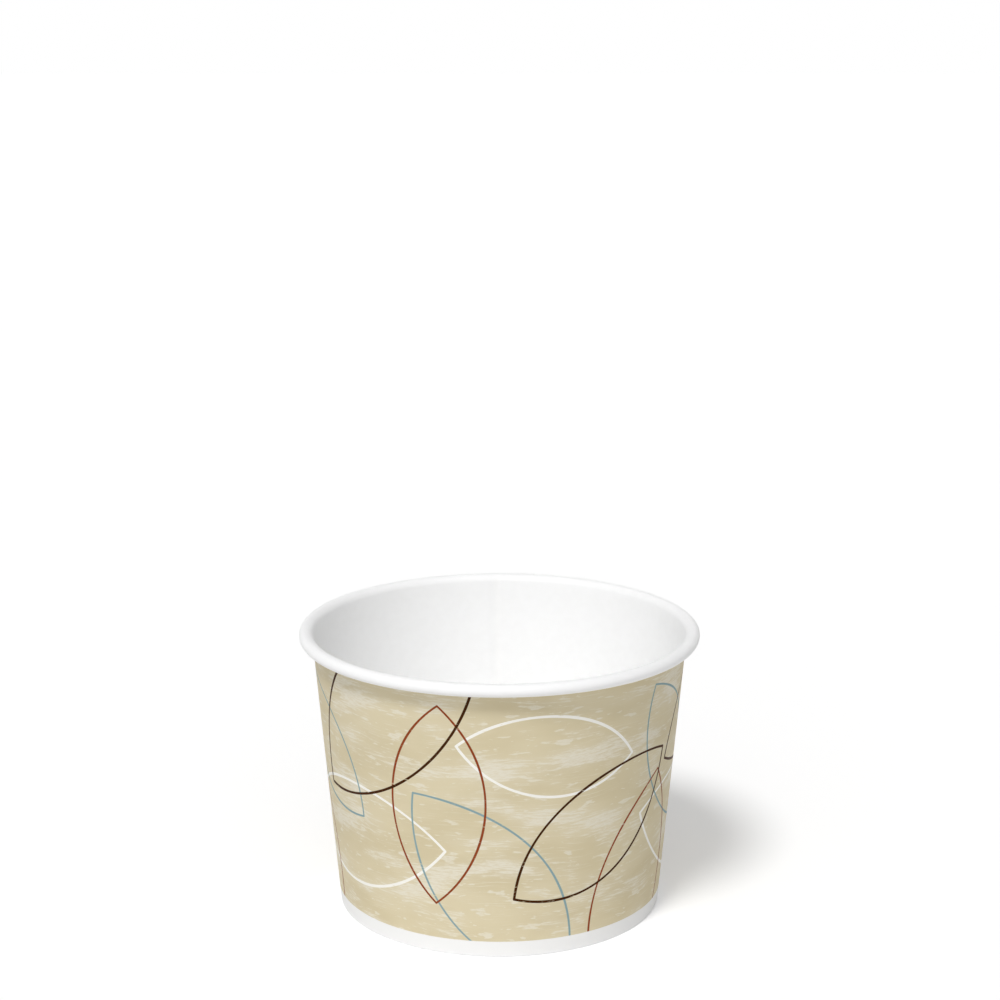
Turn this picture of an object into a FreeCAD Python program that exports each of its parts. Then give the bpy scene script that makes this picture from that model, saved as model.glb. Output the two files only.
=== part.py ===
import FreeCAD
import Part

import collections
import math
import os

# A paper dessert cup: a tapered sidewall of coated board with a rolled rim, and a bottom
# disc whose skirt is held in the hem of the sidewall. Units are millimetres. The origin is
# the centre of the base, +Z points up to the rim, and the side seam faces +Y.

# Whole cup
cup_height = 70.0
base_radius = 39.6  # outer face of the wall where it meets the table
mouth_radius = 46.0  # outer face of the wall carried up to the rim's height

# Board
wall_board = 0.40
disc_board = 0.35
seal_gap = 0.03  # coating between bonded faces

# Rolled rim
rim_overhang = 3.0  # past the mouth radius
rim_height = 3.1
rim_flats = 5  # to each quarter turn on the outside of the roll
rim_tuck_bend = 0.7  # middle of the board, where the cut end turns up inside the roll
rim_tuck = 0.9  # how far the cut end stands inside the roll
rim_tuck_gap = 0.06  # between the cut end and the wall behind it

# Bottom disc and hem
disc_level = 6.6  # underside of the disc above the table
disc_bend = 0.75  # middle of the board, between the disc and its skirt
skirt_lift = 0.1  # skirt's cut edge above the floor of the hem
hem_clearance = 1.1  # hem's cut edge below the disc

# Side seam
seam_angle = 90.0  # where the inside ply begins, measured from +X
seam_lap = 7.5  # width of the overlap, along the outside of the base
seam_ramp = 3.0  # over which the outside ply climbs on to the inside ply
seam_press = 0.04  # how far the two plies are pressed into each other

lean = math.atan2(mouth_radius - base_radius, cup_height)

# A bend of the board: its radius at the middle of the board, and how many flats make up its
# outer and its inner side. Those outside the rim stay within 0.03 mm of the true arc.
Bend = collections.namedtuple("Bend", "radius outer_flats inner_flats")


def wall_middle(height):
    """Radius of the middle of the wall's board at a height."""
    return base_radius - wall_board / 2 / math.cos(lean) + height * math.tan(lean)


def inside_wall(distance, height):
    """Radius of a line that runs parallel to the wall's middle, a distance inside it."""
    return wall_middle(height) - distance / math.cos(lean)


def turned(vector, angle):
    """A vector in the XZ plane, turned from X towards Z by an angle in radians."""
    cos, sin = math.cos(angle), math.sin(angle)
    return FreeCAD.Vector(vector.x * cos - vector.z * sin, 0, vector.x * sin + vector.z * cos)


def board_section(corners, bends, thickness):
    """Face of bent board in the XZ plane. The middle of the board runs through the corners,
    each inner corner rounded by its own bend."""
    points = [FreeCAD.Vector(x, 0, z) for x, z in corners]
    ways = [(end - start).normalize() for start, end in zip(points, points[1:])]
    lefts = [turned(way, math.pi / 2) for way in ways]
    outline = []
    for side in (1, -1):
        offset = side * thickness / 2
        edge = [points[0] + lefts[0] * offset]
        for corner, way, ahead, left, bend in zip(points[1:], ways, ways[1:], lefts, bends):
            turn = math.atan2(ahead.dot(left), ahead.dot(way))
            hand = math.copysign(1, turn)
            centre = corner - way * bend.radius * math.tan(abs(turn) / 2) + left * hand * bend.radius
            spoke = left * (offset - hand * bend.radius)
            flats = bend.inner_flats if side == hand else bend.outer_flats
            edge += [centre + turned(spoke, turn * step / flats) for step in range(flats + 1)]
        edge.append(points[-1] + lefts[-1] * offset)
        outline += edge[::side]
    kept = [outline[0]]
    for point in outline[1:]:
        if (point - kept[-1]).Length > 1e-6:
            kept.append(point)
    return Part.Face(Part.makePolygon(kept + kept[:1]))


def sidewall_section(rise):
    """Section of the sidewall from the hem's cut edge, round the foot, up the wall and round
    the rim. A rise moves the wall and rim outwards and the hem inwards, as one ply over
    another."""
    half = wall_board / 2
    hem_height = disc_level - hem_clearance
    hem_offset = wall_board + disc_board + 2 * seal_gap + rise
    rim_top = cup_height - half
    rim_bottom = cup_height - rim_height + half
    tuck_offset = wall_board + rim_tuck_gap
    tuck_end = rim_bottom + rim_tuck
    rim_outside = mouth_radius + rim_overhang - half
    roll_radius = (rim_height - wall_board) / 2
    lip_width = rim_outside - roll_radius - wall_middle(rim_top)
    lip_radius = lip_width / math.tan((math.pi / 2 - lean) / 2)
    corners = [
        (inside_wall(hem_offset, hem_height), hem_height),
        (inside_wall(hem_offset, half), half),
        (wall_middle(half) + rise, half),
        (wall_middle(rim_top) + rise, rim_top),
        (rim_outside + rise, rim_top),
        (rim_outside + rise, rim_bottom),
        (inside_wall(-tuck_offset, rim_bottom) + rise, rim_bottom),
        (inside_wall(-tuck_offset, tuck_end) + rise, tuck_end),
    ]
    fold = Bend(half, 1, 1)
    lip = Bend(lip_radius, rim_flats, 2)
    roll = Bend(roll_radius, rim_flats, 2)
    tuck = Bend(rim_tuck_bend, 2, 1)
    bends = [fold, fold, lip, roll, roll, tuck]
    return board_section(corners, bends, wall_board)


def swept(face, start, angle):
    """The face turned about the Z axis, from a start angle through an angle, in degrees."""
    axis = FreeCAD.Vector(0, 0, 1)
    origin = FreeCAD.Vector(0, 0, 0)
    placed = face.copy()
    placed.rotate(origin, axis, start)
    return placed.revolve(origin, axis, angle)


def bridged(face_a, angle_a, face_b, angle_b):
    """Ruled solid between two sections that stand at two angles about the Z axis."""
    wires = []
    for face, angle in ((face_a, angle_a), (face_b, angle_b)):
        placed = face.copy()
        placed.rotate(FreeCAD.Vector(0, 0, 0), FreeCAD.Vector(0, 0, 1), angle)
        wires.append(placed.OuterWire)
    return Part.makeLoft(wires, True, True)


def make_sidewall():
    """One blank of board, wound once round clockwise and lapped at its side seam."""
    lap_angle = math.degrees(seam_lap / base_radius)
    ramp_angle = math.degrees(seam_ramp / base_radius)
    inner_ply = sidewall_section(0)
    outer_ply = sidewall_section(wall_board - seam_press)
    both_plies = inner_ply.fuse(outer_ply).removeSplitter()
    turn = swept(inner_ply, seam_angle + ramp_angle, 360 - lap_angle - ramp_angle)
    ramp = bridged(outer_ply, seam_angle, inner_ply, seam_angle + ramp_angle)
    lap = swept(both_plies, seam_angle - lap_angle, lap_angle)
    return turn.fuse([ramp, lap]).removeSplitter()


def make_bottom_disc():
    """Disc with its edge turned down as a skirt, which lies between the wall and the hem."""
    half = disc_board / 2
    skirt_offset = wall_board / 2 + seal_gap + half
    skirt_end = wall_board + skirt_lift
    top = disc_level + half
    corners = [
        (inside_wall(skirt_offset, skirt_end), skirt_end),
        (inside_wall(skirt_offset, top), top),
        (0, top),
    ]
    return swept(board_section(corners, [Bend(disc_bend, 2, 1)], disc_board), 0, 360)


os.makedirs("parts", exist_ok=True)
for node, make in (("sidewall", make_sidewall), ("bottom_disc", make_bottom_disc)):
    make().exportStep(os.path.join("parts", node + ".step"))
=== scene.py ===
import math

import bmesh
import bpy
import numpy as np
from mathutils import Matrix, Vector


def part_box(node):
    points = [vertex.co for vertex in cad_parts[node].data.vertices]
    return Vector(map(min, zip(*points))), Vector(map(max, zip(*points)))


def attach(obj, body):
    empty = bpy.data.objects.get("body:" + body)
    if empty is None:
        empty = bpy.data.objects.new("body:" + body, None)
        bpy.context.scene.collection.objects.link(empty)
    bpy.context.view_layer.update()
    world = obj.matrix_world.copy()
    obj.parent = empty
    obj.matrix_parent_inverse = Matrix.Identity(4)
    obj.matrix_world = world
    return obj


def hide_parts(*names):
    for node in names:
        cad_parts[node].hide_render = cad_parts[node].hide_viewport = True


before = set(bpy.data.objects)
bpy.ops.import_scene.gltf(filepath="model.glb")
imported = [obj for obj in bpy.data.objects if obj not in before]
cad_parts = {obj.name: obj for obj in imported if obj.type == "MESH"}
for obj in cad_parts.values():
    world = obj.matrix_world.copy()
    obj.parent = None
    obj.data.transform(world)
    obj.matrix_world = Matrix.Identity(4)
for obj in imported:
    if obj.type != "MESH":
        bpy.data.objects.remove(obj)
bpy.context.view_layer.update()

# Sizes of the cup, in millimetres, as in the part. What the frame shows is read from it.
MM = 0.001
sidewall_low, sidewall_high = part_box("sidewall")
cup_height = sidewall_high[2] / MM
rim_radius = (sidewall_high[0] - sidewall_low[0]) / 2 / MM
disc_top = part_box("bottom_disc")[1][2] / MM
base_radius = 39.6  # outer face of the wall where it meets the table
mouth_radius = 46.0  # outer face of the wall carried up to the rim's height
wall_board = 0.40
disc_board = 0.35
seal_gap = 0.03
rim_height = 3.1
rim_tuck_bend = 0.7
rim_tuck = 0.9
rim_tuck_gap = 0.06
disc_bend = 0.75
skirt_lift = 0.1
hem_height = 5.5

# Side seam, as in the part, with its widths as angles about the cup's axis
seam_angle = math.radians(90)  # where the inner ply begins
seam_lap = 7.5 / base_radius
seam_ramp = 3.0 / base_radius  # over which the outer ply climbs on to the inner one
seam_rise = 0.36  # how far the outer ply stands out from the inner one's place

# Sizes that only the scene has
fold_radius = 0.24  # of both folds at the foot, at the middle of the board
seam_squeeze = 0.05  # how far the inner ply's foot and rim are pressed in under the outer ply
print_bottom = 4.1  # height of the white band below the print

lean = math.atan2(mouth_radius - base_radius, cup_height)
middle_radius = (base_radius + mouth_radius) / 2
cut_angle = seam_angle - seam_lap  # where the outer ply ends

# Material slots of the wall. The disc has the first two.
COATED, RAW, PRINTED, HEM = range(4)


# Meshes of bent board

def wall_middle(height):
    """Radius of the middle of the wall's board at a height."""
    return base_radius - wall_board / 2 / math.cos(lean) + height * math.tan(lean)


def inside_wall(distance, height):
    """Radius of a line parallel to the wall's middle, a distance inside it."""
    return wall_middle(height) - distance / math.cos(lean)


def unevenness(angle):
    """Change of the mouth's radius, in millimetres, where the forming machine leaves it out of
    round. It is never outwards."""
    return 0.035 * math.sin(2 * angle + 0.6) + 0.015 * math.sin(5 * angle + 2.1) - 0.05


def smooth_step(values):
    """Goes smoothly from 0 to 1 while the values do."""
    part = np.clip(values, 0, 1)
    return part * part * (3 - 2 * part)


def left_of(way):
    """A way turned a quarter to the left."""
    return np.array((-way[1], way[0]))


shortest_step = 1e-4  # millimetres. Rows nearer to each other are one row.


def bent_board(corners, bends, thickness, longest_run=2.4, largest_turn=math.radians(8)):
    """Rows across a strip of board whose middle runs through the corners, each rounded with its
    bend radius. Returns each row's two points, left and right of the way, as (radius, height)."""
    points = [np.array(corner, float) for corner in corners]
    ways = [(end - start) / np.linalg.norm(end - start) for start, end in zip(points, points[1:])]
    middles, normals = [], []

    def run(start, end, way):
        count = max(1, math.ceil(np.linalg.norm(end - start) / longest_run))
        for step in range(count + 1):
            middles.append(start + (end - start) * step / count)
            normals.append(left_of(way))

    start = points[0]
    for corner, way, ahead, bend in zip(points[1:], ways, ways[1:], bends):
        left = left_of(way)
        turn = math.atan2(ahead @ left, ahead @ way)
        hand = math.copysign(1, turn)
        tangent = bend * math.tan(abs(turn) / 2)
        run(start, corner - way * tangent, way)
        centre = corner - way * tangent + left * hand * bend
        count = math.ceil(abs(turn) / largest_turn)
        for step in range(1, count):
            angle = turn * step / count
            normal = left * math.cos(angle) + left_of(left) * math.sin(angle)
            middles.append(centre - normal * hand * bend)
            normals.append(normal)
        start = corner + ahead * tangent
    run(start, points[-1], ways[-1])

    middles, normals = np.array(middles), np.array(normals)
    moved = np.linalg.norm(np.diff(middles, axis=0), axis=1) > shortest_step
    kept = np.concatenate(([True], moved))
    middles, normals = middles[kept], normals[kept]
    return middles + normals * thickness / 2, middles - normals * thickness / 2


# Flat map of the wound board, which is 1 wide and 1 high. The right side has most of the room,
# in two halves one above the other, the left side is a column beside them, and the cut edges
# are strips above them.
map_margin = 0.005
map_half_width = 0.68
map_half_height = 0.47
map_half_step = 0.484  # from the foot of one half to that of the other
map_left_start = 0.71
map_left_width = 0.28
map_left_height = 0.985
map_strip_start = 0.969
map_strip_length = 0.7
map_strip_width = 0.005
map_strip_step = 0.008


def flat_places(face, around, up):
    """Where a face's (column, side, row) corners lie on the flat map. around and up say how far
    along the board each column and row is, from 0 to 1."""
    (column, side, row), end = face[0], face[2]
    if side != end[1]:  # a cut edge
        if column == end[0]:
            strip = 2 if column == 0 else 3
            along = [up[r] for c, s, r in face]
        else:
            strip = 0 if row == 0 else 1
            along = [around[c] for c, s, r in face]
        foot = map_strip_start + strip * map_strip_step
        return [(map_strip_length * part, foot + map_strip_width * s) for part, (c, s, r) in zip(along, face)]
    if side == 0:
        return [(map_left_start + map_left_width * up[r], map_margin + map_left_height * around[c])
                for c, s, r in face]
    half = int(around[column] + around[end[0]] > 1)
    foot = map_margin + map_half_step * half
    return [(map_margin + 2 * map_half_width * (around[c] - half / 2), foot + map_half_height * up[r])
            for c, s, r in face]


same_place = 1e-8  # metres. Corners nearer to each other are one corner.
sharp_bend = math.radians(40)  # shown as a sharp edge
wall_column_step = math.radians(0.9)
disc_column_step = math.radians(1.5)
ramp_columns = 12
lap_columns = 14


def wound_board(name, left, right, angles, rises, squeezes, lifts, slots, closed):
    """Mesh of a strip of board wound about the Z axis. rises is how far each column stands out,
    squeezes how far its foot and rim are pressed together, lifts how much of the rise each row
    takes, and slots the material of each row on the right."""
    rows, columns = len(left), len(angles)
    section = np.concatenate((left, right))
    lift = np.concatenate((lifts, lifts))
    off_axis = section[:, 0] > 1  # the middle of the disc stays on the axis
    places = np.empty((columns, 2 * rows, 3))
    for column, (angle, rise, squeeze) in enumerate(zip(angles, rises, squeezes)):
        sway = unevenness(angle) * section[:, 1] / cup_height
        radius = section[:, 0] + lift * rise + sway * off_axis
        places[column, :, 0] = radius * math.cos(angle)
        places[column, :, 1] = radius * math.sin(angle)
        places[column, :, 2] = section[:, 1] + squeeze * (1 - 2 * section[:, 1] / cup_height)

    # Faces as (column, side, row) corners: both sides of the board, then its cut edges
    faces, materials = [], []
    for column in range(columns if closed else columns - 1):
        for row in range(rows - 1):
            for side in (0, 1):
                faces.append([(column, side, row), (column, side, row + 1),
                              (column + 1, side, row + 1), (column + 1, side, row)])
                materials.append(slots[row] if side else COATED)
        for row in (0, rows - 1):
            faces.append([(column, 0, row), (column, 1, row), (column + 1, 1, row), (column + 1, 0, row)])
            materials.append(RAW)
    if not closed:
        for column in (0, columns - 1):
            for row in range(rows - 1):
                faces.append([(column, 0, row), (column, 0, row + 1), (column, 1, row + 1), (column, 1, row)])
                materials.append(RAW)

    mesh = bpy.data.meshes.new(name)
    corners = [[((column % columns) * 2 + side) * rows + row for column, side, row in face] for face in faces]
    mesh.from_pydata((places.reshape(-1, 3) * MM).tolist(), [], corners)
    mesh.polygons.foreach_set("material_index", materials)
    if not closed:
        steps = np.linalg.norm(np.diff((left + right) / 2, axis=0), axis=1)
        up = np.concatenate(([0], np.cumsum(steps))) / steps.sum()
        around = (angles - angles[0]) / (angles[-1] - angles[0])
        flat = [place for face in faces for place in flat_places(face, around, up)]
        mesh.uv_layers.new(name="OFBake").uv.foreach_set("vector", np.array(flat, np.float32).ravel())
    work = bmesh.new()
    work.from_mesh(mesh)
    bmesh.ops.remove_doubles(work, verts=work.verts, dist=same_place)
    bmesh.ops.recalc_face_normals(work, faces=work.faces)
    work.to_mesh(mesh)
    work.free()
    mesh.shade_smooth()
    mesh.set_sharp_from_angle(angle=sharp_bend)
    piece = bpy.data.objects.new(name, mesh)
    bpy.context.scene.collection.objects.link(piece)
    return piece


def make_sidewall():
    """One blank of board wound once round clockwise, lapped at the seam, rolled and hemmed."""
    half = wall_board / 2
    hem_offset = wall_board + disc_board + 2 * seal_gap
    rim_top = cup_height - half
    rim_bottom = cup_height - rim_height + half
    rim_outside = rim_radius - half
    tuck_offset = wall_board + rim_tuck_gap
    tuck_end = rim_bottom + rim_tuck
    roll_radius = (rim_height - wall_board) / 2
    lip_width = rim_outside - roll_radius - wall_middle(rim_top)
    lip_radius = lip_width / math.tan((math.pi / 2 - lean) / 2)
    corners = [
        (inside_wall(hem_offset, hem_height), hem_height),
        (inside_wall(hem_offset, half), half),
        (wall_middle(half), half),
        (wall_middle(rim_top), rim_top),
        (rim_outside, rim_top),
        (rim_outside, rim_bottom),
        (inside_wall(-tuck_offset, rim_bottom), rim_bottom),
        (inside_wall(-tuck_offset, tuck_end), tuck_end),
    ]
    bends = [fold_radius, fold_radius, lip_radius, roll_radius, roll_radius, rim_tuck_bend]
    left, right = bent_board(corners, bends, wall_board)
    middle = (left + right) / 2

    # In the lap the outer ply's wall and rim go outwards, its hem inwards, and its foot widens
    hem_side, wall_side = corners[1][0], corners[2][0]
    across = np.interp(middle[:, 0], (hem_side + half, wall_side - half), (-1, 1))
    above_foot = middle[:, 1] > wall_board
    in_hem = (np.arange(len(middle)) < np.argmin(middle[:, 1])) & above_foot
    lifts = np.where(in_hem, -1.0, np.where(above_foot, 1.0, across))
    slots = np.where(in_hem, HEM, PRINTED)

    full_turn = 2 * math.pi
    plain = np.arange(0, full_turn - seam_ramp, wall_column_step)
    ramp = np.linspace(full_turn - seam_ramp, full_turn, ramp_columns)
    lap = np.linspace(full_turn, full_turn + seam_lap, lap_columns)[1:]
    turns = np.concatenate((plain, ramp, lap))
    rises = seam_rise * smooth_step((turns - full_turn + seam_ramp) / seam_ramp)
    squeezes = seam_squeeze * smooth_step((seam_lap + seam_ramp - turns) / seam_ramp)
    angles = seam_angle - turns
    return wound_board("paper_sidewall", left, right, angles, rises, squeezes, lifts, slots, False)


def make_disc():
    """Disc of board with its edge turned down as a skirt."""
    half = disc_board / 2
    skirt_offset = wall_board / 2 + seal_gap + half
    skirt_end = wall_board + skirt_lift
    top = disc_top - half
    corners = [
        (inside_wall(skirt_offset, skirt_end), skirt_end),
        (inside_wall(skirt_offset, top), top),
        (0, top),
    ]
    left, right = bent_board(corners, [disc_bend], disc_board, longest_run=4)
    angles = np.arange(0, 2 * math.pi, disc_column_step)
    flat = np.zeros(len(angles))
    slots = np.full(len(left), COATED)
    return wound_board("paper_disc", left, right, angles, flat, flat, np.zeros(len(left)), slots, True)


# Materials

class Nodes:
    """Short names for the nodes of one material or world."""

    def __init__(self, owner):
        owner.use_nodes = True
        self.owner = owner
        self.tree = owner.node_tree

    def feed(self, socket, value):
        """Links a socket to another, or sets its value."""
        if isinstance(value, bpy.types.NodeSocket):
            self.tree.links.new(value, socket)
        else:
            socket.default_value = value

    def add(self, kind, inputs, **settings):
        """A node with its inputs fed, by name or number."""
        node = self.tree.nodes.new(kind)
        for name, value in settings.items():
            setattr(node, name, value)
        for name, value in inputs.items():
            self.feed(node.inputs[name], value)
        return node

    def math(self, operation, *values):
        return self.add("ShaderNodeMath", dict(enumerate(values)), operation=operation).outputs[0]

    def vector(self, operation, *values):
        node = self.add("ShaderNodeVectorMath", dict(enumerate(values)), operation=operation)
        return node.outputs["Value" if operation == "LENGTH" else "Vector"]

    def turned(self, vector, angle):
        """A vector turned about the Z axis."""
        inputs = {"Vector": vector, "Angle": angle}
        return self.add("ShaderNodeVectorRotate", inputs, rotation_type="Z_AXIS").outputs[0]

    def point(self, x, y, z=0.0):
        return self.add("ShaderNodeCombineXYZ", {0: x, 1: y, 2: z}).outputs[0]

    def parts(self, vector):
        return self.add("ShaderNodeSeparateXYZ", {0: vector}).outputs

    def noise(self, at, detail=3.0, roughness=0.5, scale=1.0):
        inputs = {"Vector": at, "Scale": scale, "Detail": detail, "Roughness": roughness}
        return self.add("ShaderNodeTexNoise", inputs).outputs["Fac"]

    def between(self, value, low, high, to_low=0.0, to_high=1.0):
        """A smooth step from one value to another while the input goes from low to high."""
        inputs = {"Value": value, "From Min": low, "From Max": high, "To Min": to_low, "To Max": to_high}
        return self.add("ShaderNodeMapRange", inputs, interpolation_type="SMOOTHSTEP").outputs[0]

    def mix(self, amount, first, second):
        """A colour between two. The node's colour sockets are its numbers 6 and 7."""
        return self.add("ShaderNodeMix", {0: amount, 6: first, 7: second}, data_type="RGBA").outputs[2]

    def bump(self, height, distance, normal=None):
        """Normal of a surface whose relief is a distance in millimetres deep."""
        inputs = {"Height": height, "Distance": distance * MM, "Strength": 1.0}
        if normal is not None:
            inputs["Normal"] = normal
        return self.add("ShaderNodeBump", inputs).outputs[0]

    def seen(self):
        """1 for the rays that come from the camera, a reflection or glass, and 0 for the rest."""
        path = self.tree.nodes.new("ShaderNodeLightPath").outputs
        mirrored = self.math("MAXIMUM", path["Is Glossy Ray"], path["Is Transmission Ray"])
        return self.math("MAXIMUM", path["Is Camera Ray"], mirrored)

    def shade(self, values):
        """Sets or links the surface shader's sockets, and returns the material."""
        shader = self.tree.nodes["Principled BSDF"]
        for name, value in values.items():
            self.feed(shader.inputs[name], value)
        return self.owner


def material_nodes(name):
    """The nodes of a new material."""
    return Nodes(bpy.data.materials.new(name))


def srgb(red, green, blue):
    """Linear colour of an sRGB colour written with numbers up to 255."""
    parts = [value / 255 for value in (red, green, blue)]
    return [part / 12.92 if part <= 0.04045 else ((part + 0.055) / 1.055) ** 2.4 for part in parts] + [1]


PLAIN_WHITE = srgb(245, 245, 245)
HEM_WHITE = srgb(238, 238, 236)
EDGE_DARK, EDGE_LIGHT = srgb(232, 228, 219), srgb(244, 242, 236)
TAN_DARK, TAN_LIGHT = srgb(215, 202, 168), srgb(222, 210, 178)
BRUSHED_TAN = srgb(236, 231, 216)
noise_range = (0.3, 0.7)  # in which most values of a noise lie
coated_roughness = (0.46, 0.58)
hem_roughness = (0.45, 0.58)
raw_roughness = 0.85
mottle_share = 0.7  # of the relief, of which the finer grain has the rest

# Depths of the reliefs, in millimetres
fibre_relief = 0.02
edge_relief = 0.03
rib_relief = 0.05


def in_millimetres(nodes):
    """The point in the cup's own frame, in millimetres."""
    place = nodes.tree.nodes.new("ShaderNodeTexCoord").outputs["Object"]
    return nodes.vector("MULTIPLY", place, (1 / MM, 1 / MM, 1 / MM))


def on_the_blank(nodes, place):
    """Where a point of the wall lies on the flat blank: along it from the middle, and up it."""
    x, y, z = nodes.parts(nodes.turned(place, -cut_angle - math.pi))
    along = nodes.math("MULTIPLY", nodes.math("ARCTAN2", y, x), middle_radius)
    return along, nodes.math("DIVIDE", z, math.cos(lean))


def fibre(nodes, place):
    """Fine unevenness of coated board, from a soft mottle to the fibres under the coating."""
    mottle = nodes.noise(place, detail=2, scale=0.45)
    grain = nodes.noise(place, detail=4, roughness=0.65, scale=3.2)
    soft, fine = nodes.math("MULTIPLY", mottle, mottle_share), nodes.math("MULTIPLY", grain, 1 - mottle_share)
    return mottle, grain, nodes.bump(nodes.math("ADD", soft, fine), fibre_relief)


def coated_board(name, first, second):
    """White board under a thin glossy film, mottled with two near colours."""
    nodes = material_nodes(name)
    mottle, grain, relief = fibre(nodes, in_millimetres(nodes))
    colour = nodes.mix(nodes.between(mottle, *noise_range), first, second)
    roughness = nodes.between(grain, *noise_range, *coated_roughness)
    looks = {"Base Color": colour, "Roughness": roughness, "Specular IOR Level": 0.4, "Normal": relief}
    return nodes.shade(looks)


def hem_board():
    """The inside of the hem, pressed with fine upright ribs."""
    rib_count = 150
    ribs_low, ribs_high, ribs_fade = 1.2, 5.0, 0.6
    nodes = material_nodes("hem_board")
    place = in_millimetres(nodes)
    x, y, z = nodes.parts(place)
    ribs = nodes.math("SINE", nodes.math("MULTIPLY", nodes.math("ARCTAN2", y, x), rib_count))
    begun = nodes.between(z, ribs_low, ribs_low + ribs_fade)
    pressed = nodes.math("MULTIPLY", begun, nodes.between(z, ribs_high, ribs_high - ribs_fade))
    mottle, grain, relief = fibre(nodes, place)
    normal = nodes.bump(nodes.math("MULTIPLY", ribs, pressed), rib_relief, relief)
    colour = nodes.mix(nodes.between(mottle, *noise_range), HEM_WHITE, PLAIN_WHITE)
    roughness = nodes.between(grain, *noise_range, *hem_roughness)
    return nodes.shade({"Base Color": colour, "Roughness": roughness, "Normal": normal})


def raw_board():
    """The cut edge of the board, matt and fibrous."""
    nodes = material_nodes("raw_board")
    layers = nodes.noise(in_millimetres(nodes), detail=4, roughness=0.7, scale=6)
    colour = nodes.mix(nodes.between(layers, 0.35, 0.65), EDGE_DARK, EDGE_LIGHT)
    relief = nodes.bump(layers, edge_relief)
    return nodes.shade({"Base Color": colour, "Roughness": raw_roughness, "Normal": relief})


# Print

# Inks in the order in which they are printed, each with its colour and the width of its lines
BROWN, RUST, BLUE, CREAM = range(4)
INKS = {
    CREAM: (srgb(251, 249, 242), 0.66),
    BLUE: (srgb(139, 167, 172), 0.53),
    RUST: (srgb(143, 67, 34), 0.54),
    BROWN: (srgb(64, 31, 0), 0.64),
}
line_softness = 0.04
line_swell = 0.04
worn_ink = 0.35  # how much of the ink is left in a nick
print_fuzz = 0.1  # how far the print's lower edge wanders

leaf_count = 20
leaf_low, leaf_room = 8, 54  # lowest centre, and how much higher the highest can be
leaf_short, leaf_growth = 21, 13  # shortest half length, and how much longer the longest can be
leaf_width = 0.46  # as a part of the length
leaf_tilt, leaf_turn = 25, 137.5  # degrees: the first leaf's tilt, and the step from leaf to leaf
height_step, length_step = (math.sqrt(5) - 1) / 2, 0.37  # spread the heights and lengths evenly
brush_sway = 7.0  # how far the brush marks rise and fall on their way round


def leaf_places():
    """Centre along and up the blank, half length, tilt and ink of each leaf outline."""
    length = 2 * math.pi * middle_radius
    for leaf in range(leaf_count):
        along = (leaf + 0.5) / leaf_count * length - length / 2
        up = leaf_low + leaf_room * (leaf * height_step % 1)
        half_length = leaf_short + leaf_growth * (leaf * length_step % 1)
        tilt = math.radians(leaf_tilt + leaf_turn * leaf)
        yield along, up, half_length, tilt, leaf % len(INKS)


def leaf_distance(nodes, blank, along, up, half_length, tilt):
    """Distance from the outline of a leaf: two equal arcs that meet in two points."""
    half_width = leaf_width * half_length
    arc_radius = (half_length ** 2 + half_width ** 2) / (2 * half_width)
    offset = arc_radius - half_width
    centred = nodes.vector("SUBTRACT", blank, (along, up, 0))
    folded = nodes.vector("ABSOLUTE", nodes.turned(centred, tilt))
    from_centre = nodes.vector("LENGTH", nodes.vector("ADD", folded, (offset, 0, 0)))
    from_arc = nodes.math("ABSOLUTE", nodes.math("SUBTRACT", from_centre, arc_radius))
    past_tip = nodes.math("SUBTRACT", nodes.parts(folded)[1], half_length)
    return nodes.math("MAXIMUM", from_arc, past_tip)


def stretched(nodes, along, up, length, height, seed, detail=3, roughness=0.5):
    """Noise drawn out on the blank, with its length and height in millimetres."""
    at = nodes.point(nodes.math("DIVIDE", along, length), nodes.math("DIVIDE", up, height), seed)
    return nodes.noise(at, detail, roughness)


def worn_ground(nodes, along, up):
    """Tan ground colour with dry brush marks that run round the cup."""
    drift = stretched(nodes, along, up, 40.0, 30.0, seed=3, detail=2)
    swayed = nodes.math("ADD", up, nodes.math("MULTIPLY", drift, brush_sway))

    def layer(length, height, seed, detail=3, roughness=0.5):
        return stretched(nodes, along, swayed, length, height, seed, detail, roughness)

    patches = layer(22.0, 7.0, seed=11)
    bristles = layer(5.5, 0.52, seed=23, detail=4, roughness=0.7)
    grain = layer(1.6, 0.30, seed=31, detail=2, roughness=0.6)

    # Wide brushed patches with ragged ends, over a thin veil of the same colour
    ragged = nodes.math("MULTIPLY", nodes.math("SUBTRACT", bristles, 0.5), 0.85)
    brushed = nodes.between(nodes.math("ADD", patches, ragged), 0.55, 0.65, 0.0, 0.62)
    brushed = nodes.math("MULTIPLY", brushed, nodes.between(grain, 0.34, 0.60, 0.45, 1.0))
    veil = nodes.between(patches, 0.42, 0.66, 0.0, 0.18)

    # Long fine lines, flecks, and dabs of a few bristles each
    lines = nodes.between(layer(11.0, 0.36, seed=67, detail=4, roughness=0.65), 0.56, 0.66, 0.0, 0.45)
    lines = nodes.math("MULTIPLY", lines, nodes.between(layer(34.0, 15.0, seed=61, detail=2), 0.38, 0.58))
    flecks = nodes.between(layer(3.0, 0.95, seed=47), 0.655, 0.69, 0.0, 0.60)
    dabs = nodes.math("ADD", layer(6.5, 2.1, seed=83, detail=2), nodes.math("MULTIPLY", bristles, 0.40))
    dabs = nodes.between(dabs, 0.82, 0.86, 0.0, 0.66)
    dabs = nodes.math("MULTIPLY", dabs, nodes.between(grain, 0.30, 0.52, 0.4, 1.0))

    marks = nodes.math("ADD", brushed, veil)
    for others in (flecks, dabs, lines):
        marks = nodes.math("MAXIMUM", marks, others)
    ground = nodes.mix(nodes.between(layer(26.0, 11.0, seed=5), 0.35, 0.65), TAN_DARK, TAN_LIGHT)
    return nodes.mix(marks, ground, BRUSHED_TAN)


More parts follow.
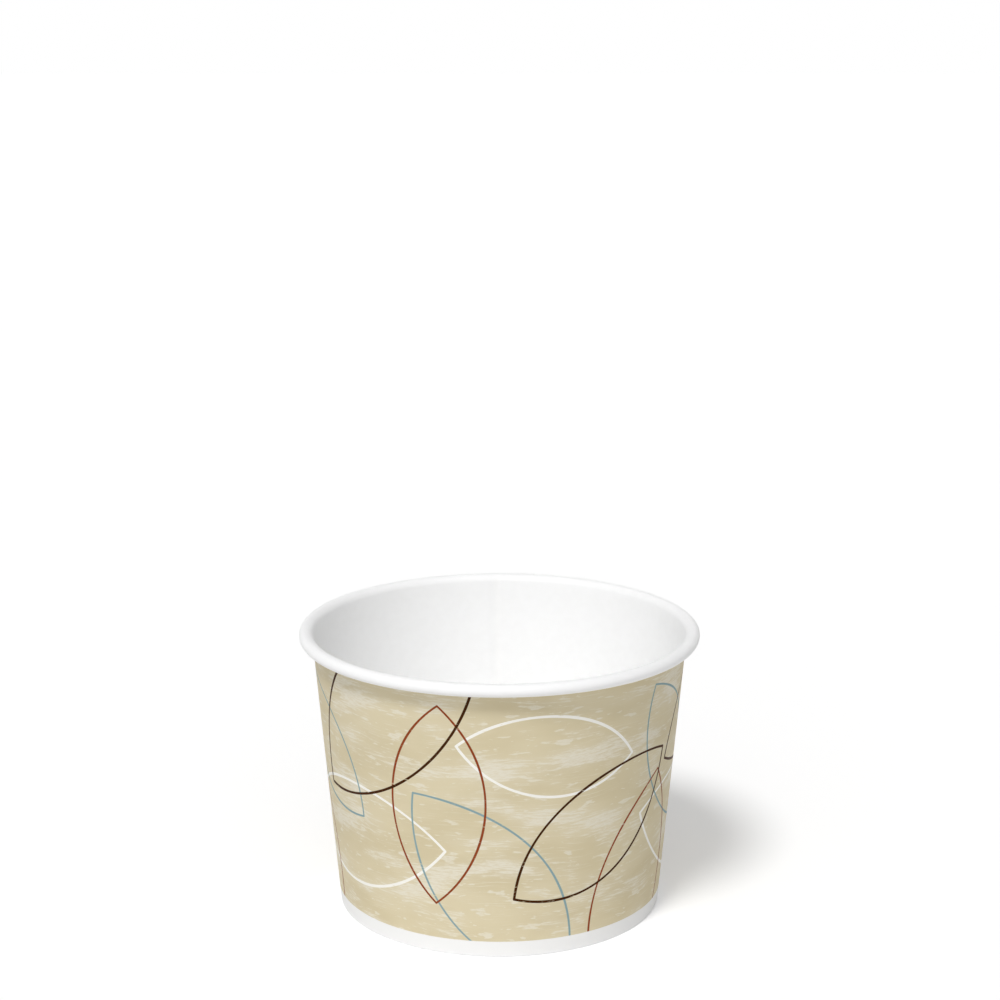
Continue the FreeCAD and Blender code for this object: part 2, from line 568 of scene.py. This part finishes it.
def printed_board():
    """The outside of the wall: worn tan ground with inked leaf outlines above a white band."""
    nodes = material_nodes("printed_board")
    place = in_millimetres(nodes)
    along, up = on_the_blank(nodes, place)
    blank = nodes.point(along, up)
    colour = worn_ground(nodes, along, up)

    swell = nodes.noise(blank, detail=1, scale=0.05)
    swell = nodes.between(swell, *noise_range, -line_swell, line_swell)
    nicks = stretched(nodes, along, up, 3.2, 0.55, seed=71, roughness=0.6)
    kept_ink = nodes.between(nicks, 0.70, 0.63, worn_ink, 1.0)
    nearest = {}
    for along_leaf, up_leaf, half_length, tilt, ink in leaf_places():
        distance = leaf_distance(nodes, blank, along_leaf, up_leaf, half_length, tilt)
        nearest[ink] = nodes.math("MINIMUM", nearest[ink], distance) if ink in nearest else distance
    for ink, (ink_colour, width) in INKS.items():
        outside = nodes.math("SUBTRACT", nodes.math("SUBTRACT", nearest[ink], swell), width / 2)
        line = nodes.math("MULTIPLY", nodes.between(outside, line_softness, -line_softness), kept_ink)
        colour = nodes.mix(line, colour, ink_colour)

    fuzz = nodes.math("MULTIPLY", nodes.noise(place, detail=2, scale=1.5), print_fuzz)
    height = nodes.math("ADD", nodes.parts(place)[2], fuzz)
    printed = nodes.between(height, print_bottom - 0.02, print_bottom + 0.08)
    colour = nodes.mix(printed, PLAIN_WHITE, colour)
    grain, relief = fibre(nodes, place)[1:]
    roughness = nodes.between(grain, *noise_range, *coated_roughness)
    looks = {"Base Color": colour, "Roughness": roughness, "Specular IOR Level": 0.07, "Normal": relief}
    return nodes.shade(looks)


# The cup

sidewall = make_sidewall()
disc = make_disc()
cut_edge = raw_board()
# The wall's coated white is set brighter than the board's own white, painted light that lifts the inside of
# the cup; the disc's copy of the same board is set darker, painted shade that keeps its lit top from going to
# pure white.
wall_white_painted_light = coated_board("coated_board", srgb(251, 251, 251), srgb(253, 253, 253))
disc_white_painted_shade = coated_board("coated_disc_painted_shade", srgb(243, 243, 241), srgb(246, 246, 244))
for board in (wall_white_painted_light, cut_edge, printed_board(), hem_board()):
    sidewall.data.materials.append(board)
for board in (disc_white_painted_shade, cut_edge):
    disc.data.materials.append(board)

for piece, node, slot in ((sidewall, "sidewall", "sidewall_board"), (disc, "bottom_disc", "disc_board")):
    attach(piece, "root")
    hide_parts(node)


# Studio

WHITE = (1, 1, 1, 1)
floor_half = 3.0
floor_white = (0.9, 0.9, 0.9, 1)
floor_lift = 0.245  # what the camera sees on the floor besides the light that it reflects
sky_level = 0.29  # how strongly the world lights the cup and the floor
lamp_distance = 1.5
camera_lens = 89.18
camera_place = (0.00015, -0.5822, 0.2429)
camera_dip = 0.2384  # how far it looks down, in radians


def make_floor():
    """Floor that keeps the cup's shadow and is white to the camera everywhere else."""
    corners = [(floor_half * x, floor_half * y, 0) for x, y in ((-1, -1), (1, -1), (1, 1), (-1, 1))]
    mesh = bpy.data.meshes.new("floor")
    mesh.from_pydata(corners, [], [(0, 1, 2, 3)])
    floor = bpy.data.objects.new("floor", mesh)
    bpy.context.scene.collection.objects.link(floor)
    nodes = material_nodes("floor_white")
    lift = nodes.math("MULTIPLY", nodes.seen(), floor_lift)
    matt = {"Base Color": floor_white, "Roughness": 1.0, "Specular IOR Level": 0.0}
    mesh.materials.append(nodes.shade({**matt, "Emission Color": WHITE, "Emission Strength": lift}))


def make_world():
    """White to the camera and in reflections, and a plain soft light for everything else."""
    world = bpy.data.worlds.new("studio")
    bpy.context.scene.world = world
    nodes = Nodes(world)
    background = nodes.tree.nodes["Background"].inputs
    level = nodes.add("ShaderNodeMapRange", {"Value": nodes.seen(), "To Min": sky_level, "To Max": 1.0})
    nodes.feed(background["Color"], WHITE)
    nodes.feed(background["Strength"], level.outputs[0])


def add_sun(name, azimuth, elevation, spread, level):
    """Soft far lamp, placed by angles in degrees, with azimuth 0 at the camera's side and more to
    the right. level is how bright it makes a white surface that faces it."""
    lamp = bpy.data.lights.new(name, "SUN")
    lamp.angle = math.radians(spread)
    lamp.energy = level * math.pi
    holder = bpy.data.objects.new(name, lamp)
    bpy.context.scene.collection.objects.link(holder)
    turn, rise = math.radians(azimuth), math.radians(elevation)
    way = Vector((math.sin(turn) * math.cos(rise), -math.cos(turn) * math.cos(rise), math.sin(rise)))
    holder.location = way * lamp_distance
    holder.rotation_euler = way.to_track_quat("Z", "Y").to_euler()


def add_camera():
    """Camera at the photograph's place, pitched down on to the cup."""
    camera = bpy.data.cameras.new("camera")
    camera.sensor_width = 36.0
    camera.lens = camera_lens
    holder = bpy.data.objects.new("camera", camera)
    holder.location = camera_place
    holder.rotation_euler = (math.pi / 2 - camera_dip, 0, 0)
    bpy.context.scene.collection.objects.link(holder)
    bpy.context.scene.camera = holder


make_floor()
make_world()
add_sun("key", azimuth=-25, elevation=56, spread=15, level=0.53)
add_sun("fill", azimuth=-8, elevation=38, spread=70, level=0.19)
add_camera()
bpy.context.scene.view_settings.view_transform = "Standard"
bpy.context.scene.cycles.diffuse_bounces = 12  # white board lights itself many times inside the cup
